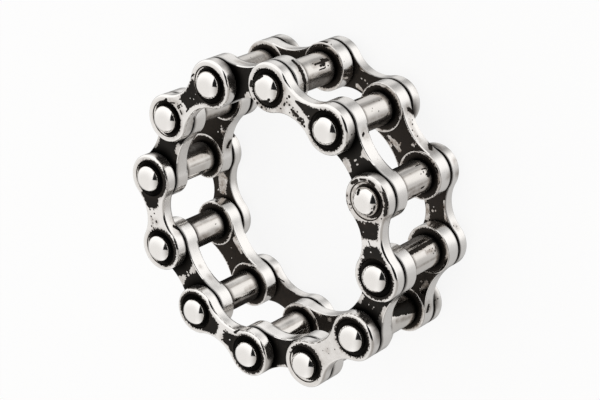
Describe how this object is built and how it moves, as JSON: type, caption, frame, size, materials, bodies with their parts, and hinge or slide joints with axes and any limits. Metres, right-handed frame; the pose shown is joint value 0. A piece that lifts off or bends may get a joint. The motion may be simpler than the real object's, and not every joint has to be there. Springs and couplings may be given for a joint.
{
  "type": "chain link ring",
  "caption": "Finger ring built as a closed loop of roller chain: waisted plates in outer and inner pairs, bare rollers between them, and domed pin heads in sunk seats.",
  "frame": {"origin": "centre of the finger hole, halfway through the ring's width", "axes": "+Z along the ring's axis, up as it lies on its side; +X through the middle of the first outer link"},
  "size_m": [0.0278, 0.0278, 0.0118],
  "materials": {
    "outer_plate": "polished face and rounded rim over a black oxidised skin that stays in the seat round each pin head and in patches at the waist",
    "inner_plate": "black oxidised faces with brown worn patches, polished side faces and a thin polished line round each boss",
    "roller": "polished tube with lengthwise streaks, small dark pits and black ends",
    "pin": "mirror-polished domed heads, dark where they meet the seat"
  },
  "bodies": {
    "root": {"outer_plate_upper_1": "outer_plate", "outer_plate_upper_2": "outer_plate", "outer_plate_upper_3": "outer_plate", "outer_plate_upper_4": "outer_plate", "outer_plate_upper_5": "outer_plate", "outer_plate_upper_6": "outer_plate", "outer_plate_lower_1": "outer_plate", "outer_plate_lower_2": "outer_plate", "outer_plate_lower_3": "outer_plate", "outer_plate_lower_4": "outer_plate", "outer_plate_lower_5": "outer_plate", "outer_plate_lower_6": "outer_plate", "inner_plate_upper_1": "inner_plate", "inner_plate_upper_2": "inner_plate", "inner_plate_upper_3": "inner_plate", "inner_plate_upper_4": "inner_plate", "inner_plate_upper_5": "inner_plate", "inner_plate_upper_6": "inner_plate", "inner_plate_lower_1": "inner_plate", "inner_plate_lower_2": "inner_plate", "inner_plate_lower_3": "inner_plate", "inner_plate_lower_4": "inner_plate", "inner_plate_lower_5": "inner_plate", "inner_plate_lower_6": "inner_plate", "roller_1": "roller", "roller_2": "roller", "roller_3": "roller", "roller_4": "roller", "roller_5": "roller", "roller_6": "roller", "roller_7": "roller", "roller_8": "roller", "roller_9": "roller", "roller_10": "roller", "roller_11": "roller", "roller_12": "roller", "pin_1": "pin", "pin_2": "pin", "pin_3": "pin", "pin_4": "pin", "pin_5": "pin", "pin_6": "pin", "pin_7": "pin", "pin_8": "pin", "pin_9": "pin", "pin_10": "pin", "pin_11": "pin", "pin_12": "pin"}
  },
  "joints": []
}
